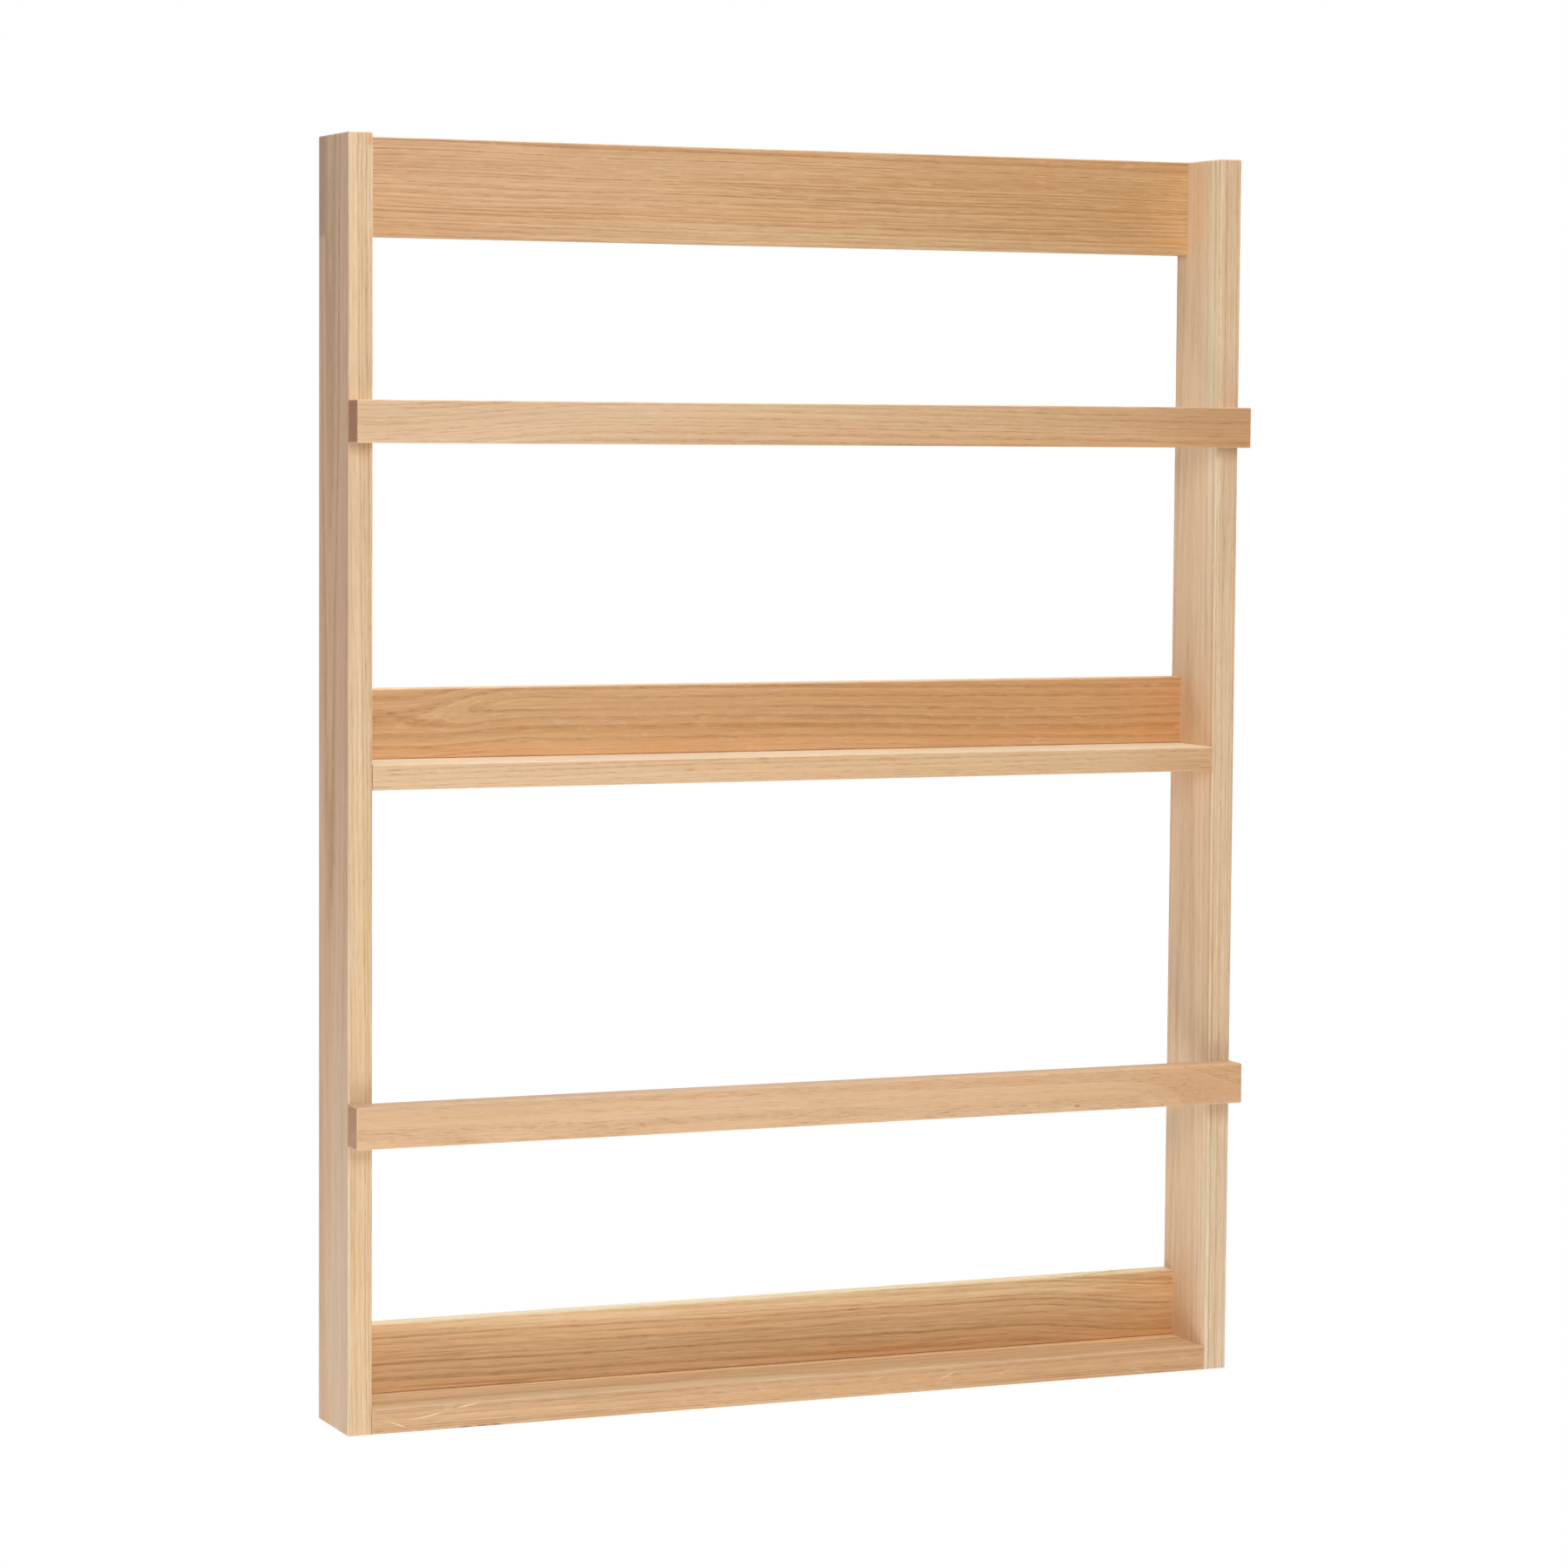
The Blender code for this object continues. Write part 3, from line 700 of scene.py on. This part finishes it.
def addFilm(work, low, high, chance):
    low, high = list(low), list(high)
    thin = min(range(3), key=lambda axis: high[axis] - low[axis])
    wide = [axis for axis in range(3) if axis != thin]
    for axis in wide:
        low[axis] += glueLook["setBack"]
        high[axis] -= glueLook["setBack"]
    levels = (low[thin] + glueLook["slack"], high[thin] - glueLook["slack"])
    corners = [(low, low), (high, low), (high, high), (low, high)]
    corners = [(first[wide[0]], second[wide[1]]) for first, second in corners]
    centre = Vector(((corners[0][0] + corners[2][0]) / 2, (corners[0][1] + corners[2][1]) / 2))
    rim = []
    for start, end in zip(corners, corners[1:] + corners[:1]):
        start, end = Vector(start), Vector(end)
        steps = max(1, round((end - start).length / glueLook["step"]))
        for step in range(steps):
            spot = start.lerp(end, step / steps)
            inward = (centre - spot).normalized()
            rim.append(spot + inward * glueLook["ragged"] * chance.random())
    rings = []
    for level in levels:
        ring = []
        for spot in rim:
            point = [0.0, 0.0, 0.0]
            point[thin], point[wide[0]], point[wide[1]] = level, spot.x, spot.y
            ring.append(work.verts.new(point))
        rings.append(ring)
        work.faces.new(ring)
    lower, upper = rings
    for i in range(len(rim)):
        after = (i + 1) % len(rim)
        work.faces.new((lower[i], lower[after], upper[after], upper[i]))


def glueColour():
    material, web = newMaterial("dried_glue")
    place = web.node("ShaderNodeTexCoord", output="Object") * perMetre
    blots = web.noise(place * glueLook["blots"]).span(*glueLook["blotRange"])
    colour = web.mix(blots, glueLook["colour"], glueLook["dark"])
    rough = glueLook["roughness"] + blots * glueLook["roughBlots"]
    finishMaterial(web, {"Base Color": colour, "Roughness": rough, "Specular IOR Level": glueLook["gloss"]})
    return material


def makeGlue():
    chance = random.Random(glueLook["seed"])
    work = bmesh.new()
    topLow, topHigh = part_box("top_rail")
    film = glueLook["film"]
    for upright in ("left_upright", "right_upright"):
        for board in ("middle_back_rail", "bottom_back_rail", "middle_shelf", "bottom_shelf"):
            addFilm(work, *seam(upright, board), chance)
        for bar in ("upper_front_bar", "lower_front_bar"):
            addFilm(work, *seam(upright, bar), chance)
        # the top rail lies in a notch, against its wall and on its floor
        low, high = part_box(upright)
        wallLow, wallHigh = (low.x, topLow.y - film, topLow.z), (high.x, topLow.y, topHigh.z)
        floorLow, floorHigh = (low.x, topLow.y, topLow.z - film), (high.x, topHigh.y, topLow.z)
        addFilm(work, wallLow, wallHigh, chance)
        addFilm(work, floorLow, floorHigh, chance)
    addFilm(work, *seam("middle_shelf", "middle_back_rail"), chance)
    addFilm(work, *seam("bottom_shelf", "bottom_back_rail"), chance)
    bmesh.ops.recalc_face_normals(work, faces=work.faces)
    mesh = bpy.data.meshes.new("glue_lines")
    work.to_mesh(mesh)
    work.free()
    mesh.materials.append(glueColour())
    glue = bpy.data.objects.new("glue_lines", mesh)
    bpy.context.scene.collection.objects.link(glue)
    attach(glue, "root")


makeGlue()
print("joints glued")


# Hidden dowels, in beech
beechLook = {
    "body": paint(214, 182, 150),
    "fleck": paint(176, 132, 98),
    "fleckScale": (0.5, 3.0, 3.0),  # to the millimetre
    "fleckRange": (0.58, 0.7),
    "fleckStrength": 0.5,
    "fleckDepth": 0.3,
    "streakScale": (0.05, 2.0, 2.0),
    "roughness": 0.5,
    "roughStreaks": 0.2,
    "relief": {"Strength": 0.2, "Distance": 0.0001},
}


def beech():
    material, web = newMaterial("dowel_beech")
    grain = web.node("ShaderNodeTexCoord", output="Object") * perMetre
    flecks = web.noise(grain * beechLook["fleckScale"], 1.0).span(*beechLook["fleckRange"])
    streaks = web.noise(grain * beechLook["streakScale"])
    colour = web.mix(flecks * beechLook["fleckStrength"], beechLook["body"], beechLook["fleck"])
    height = streaks - flecks * beechLook["fleckDepth"]
    bump = web.node("ShaderNodeBump", {}, {**beechLook["relief"], "Height": height})
    rough = beechLook["roughness"] + streaks * beechLook["roughStreaks"]
    finishMaterial(web, {"Base Color": colour, "Roughness": rough, "Normal": bump})
    return material


dowelBeech = beech()
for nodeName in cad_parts:
    if "_dowel_" in nodeName:
        dress(nodeName, dowelBeech)


# Keyhole plates and their screws
metalLook = {
    "zinc": paint(206, 208, 210),
    "zincRoughness": 0.26,
    "steel": paint(196, 196, 198),
    "steelRoughness": 0.2,
    "dull": paint(190, 192, 196),  # multiplies either, in the duller grains of the coat
    "dullStrength": 0.25,
    "spangles": 0.9,  # to the millimetre
    "brushing": (9.0, 1.0, 0.35),
    "roughSpangles": 0.12,
    "roughBrushing": 0.1,
    "relief": {"Strength": 0.2, "Distance": 0.00005},
}


def platedMetal(name, colour, roughness):
    material, web = newMaterial(name)
    place = web.node("ShaderNodeTexCoord", output="Object") * perMetre
    spangle = web.noise(place * metalLook["spangles"], 3.0)
    brushed = web.noise(place * metalLook["brushing"])
    dull = web.mix(1.0, colour, metalLook["dull"], "MULTIPLY")
    shade = web.mix(spangle * metalLook["dullStrength"], colour, dull)
    rough = roughness + spangle * metalLook["roughSpangles"] + brushed * metalLook["roughBrushing"]
    bump = web.node("ShaderNodeBump", {}, {**metalLook["relief"], "Height": brushed})
    finishMaterial(web, {
        "Base Color": shade,
        "Metallic": 1.0,
        "Roughness": rough,
        "Normal": bump,
    })
    return material


zincPlate = platedMetal("zinc_plated", metalLook["zinc"], metalLook["zincRoughness"])
screwSteel = platedMetal("screw_steel_bright", metalLook["steel"], metalLook["steelRoughness"])
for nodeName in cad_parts:
    if nodeName.endswith("_hanger_plate"):
        dress(nodeName, zincPlate)
print("hangers plated")


# Screws: countersunk and cross-slotted, turned from one outline, with a wound thread
screwLook = {
    "Shank": 0.003,  # over the thread
    "Thread": 0.0004,  # how far it stands out of the core
    "Pitch": 0.0012,
    "Rim": 0.0002,  # straight edge of the head, above its cone
    "Point": 0.003,
    "Cross Span": 0.0034,
    "Cross Width": 0.0009,
    "Cross Depth": 0.001,
    "Seed": 4,  # how far each screw happened to turn
}
screwSides = 32
screwSteps = 60
threadSteps = 20  # in each turn
beadSides = 6
pointEnd = 0.04  # share of the radius that is left at the very point
weldReach = 0.000001
crease = math.radians(40)


def screwTree():
    tree = bpy.data.node_groups.new("countersunk_screw", "GeometryNodeTree")
    web = Web(tree)
    kinds = {"Geometry": "Geometry", "Seed": "Int", "Material": "Material"}
    for name in ("Geometry", "Length", "Head", *screwLook, "Material"):
        kind = "NodeSocket" + kinds.get(name, "Float")
        tree.interface.new_socket(name, in_out="INPUT", socket_type=kind)
    tree.interface.new_socket("Geometry", in_out="OUTPUT", socket_type="NodeSocketGeometry")
    given = web.node("NodeGroupInput").socket.node.outputs
    take = {socket.name: Wire(web, socket) for socket in given if socket.name}
    length, rim = take["Length"], take["Rim"]
    headRadius = take["Head"] / 2.0
    coreRadius = take["Shank"] / 2.0 - take["Thread"]

    def narrowing(depth):  # from 1 down to almost nothing, over the point
        share = web.sum("MINIMUM", (length - depth) / take["Point"], 1.0)
        return web.sum("MAXIMUM", share, pointEnd)

    # the turned body, from the head's face at Z = 0 down to the point
    tip = web.join(0.0, 0.0, length * -1.0)
    line = web.node("GeometryNodeCurvePrimitiveLine", {}, {"Start": (0.0, 0.0, 0.0), "End": tip})
    line = web.node("GeometryNodeResampleCurve", {}, {"Curve": line, "Count": screwSteps})
    depth = web.node("GeometryNodeSplineParameter", output="Length")
    cone = web.sum("MINIMUM", headRadius, headRadius + rim - depth)
    radius = web.sum("MAXIMUM", cone, coreRadius) * narrowing(depth)
    circle = web.node("GeometryNodeCurvePrimitiveCircle", {}, {"Resolution": screwSides, "Radius": 1.0})
    sweep = {"Curve": line, "Profile Curve": circle, "Scale": radius, "Fill Caps": True}
    body = web.node("GeometryNodeCurveToMesh", {}, sweep)

    # the cross in the head
    span, width, sunk = take["Cross Span"], take["Cross Width"], take["Cross Depth"] * 2.0
    slots = [
        web.node("GeometryNodeMeshCube", {}, {"Size": web.join(span, width, sunk)}),
        web.node("GeometryNodeMeshCube", {}, {"Size": web.join(width, span, sunk)}),
    ]
    cutting = {"operation": "DIFFERENCE", "solver": "EXACT"}
    body = web.node("GeometryNodeMeshBoolean", cutting, {"Mesh 1": body, "Mesh 2": slots})

    # the thread, wound round the core and following its point
    wound = length - headRadius - rim + coreRadius
    turns = wound / take["Pitch"]
    winding = {"Resolution": threadSteps, "Rotations": turns, "Height": wound}
    winding |= {"Start Radius": 1.0, "End Radius": 1.0}
    spiral = web.node("GeometryNodeCurveSpiral", {}, winding)
    x, y, z = web.split(web.node("GeometryNodeInputPosition"))
    lowered = z - length
    reach = coreRadius * narrowing(lowered * -1.0)
    onCore = web.join(x * reach, y * reach, lowered)
    spiral = web.node("GeometryNodeSetPosition", {}, {"Geometry": spiral, "Position": onCore})
    x, y, z = web.split(web.node("GeometryNodeInputPosition"))
    ring = {"Resolution": beadSides, "Radius": take["Thread"]}
    bead = web.node("GeometryNodeCurvePrimitiveCircle", {}, ring)
    sweep = {"Curve": spiral, "Profile Curve": bead, "Scale": narrowing(z * -1.0), "Fill Caps": True}
    thread = web.node("GeometryNodeCurveToMesh", {}, sweep)
    screw = web.node("GeometryNodeJoinGeometry", {}, {"Geometry": [body, thread]})

    # one on each point of the host, its head towards the wall
    chance = web.node(
        "FunctionNodeRandomValue", {"data_type": "FLOAT"}, {2: 0.0, 3: math.tau, 8: take["Seed"]}, output=1,
    )
    facing = web.node("FunctionNodeEulerToRotation", {}, {"Euler": web.join(-math.pi / 2, chance, 0.0)})
    placing = {"Points": take["Geometry"], "Instance": screw, "Rotation": facing}
    placed = web.node("GeometryNodeInstanceOnPoints", {}, placing)
    real = web.node("GeometryNodeRealizeInstances", {}, {"Geometry": placed})
    real = web.node("GeometryNodeSetMaterial", {}, {"Geometry": real, "Material": take["Material"]})
    web.node("NodeGroupOutput", {}, {"Geometry": real})
    return tree


def makeScrews():
    nodes = [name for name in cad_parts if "_hanger_screw_" in name]
    heads = []
    for node in nodes:
        low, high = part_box(node)
        heads.append(((low.x + high.x) / 2, high.y, (low.z + high.z) / 2))
    points = bpy.data.meshes.new("screw_places")
    points.from_pydata(heads, [], [])
    screws = bpy.data.objects.new("hanger_screws", points)
    bpy.context.scene.collection.objects.link(screws)

    modifier = screws.modifiers.new("screws", "NODES")
    modifier.node_group = screwTree()
    low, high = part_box(nodes[0])
    sizes = {**screwLook, "Length": high.y - low.y, "Head": high.x - low.x, "Material": screwSteel}
    for item in modifier.node_group.interface.items_tree:
        if item.in_out == "INPUT" and item.name in sizes:
            modifier[item.identifier] = sizes[item.name]
    ready = screws.evaluated_get(bpy.context.evaluated_depsgraph_get())
    mesh = bpy.data.meshes.new_from_object(ready)
    screws.modifiers.remove(modifier)
    screws.data = mesh
    while mesh.materials[0] is not screwSteel:
        mesh.materials.pop(index=0)

    work = bmesh.new()
    work.from_mesh(mesh)
    bmesh.ops.remove_doubles(work, verts=work.verts, dist=weldReach)
    bmesh.ops.recalc_face_normals(work, faces=work.faces)
    work.to_mesh(mesh)
    work.free()
    mesh.shade_smooth()
    mesh.set_sharp_from_angle(angle=crease)
    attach(screws, "root")
    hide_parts(*nodes)


makeScrews()
print("screws driven")
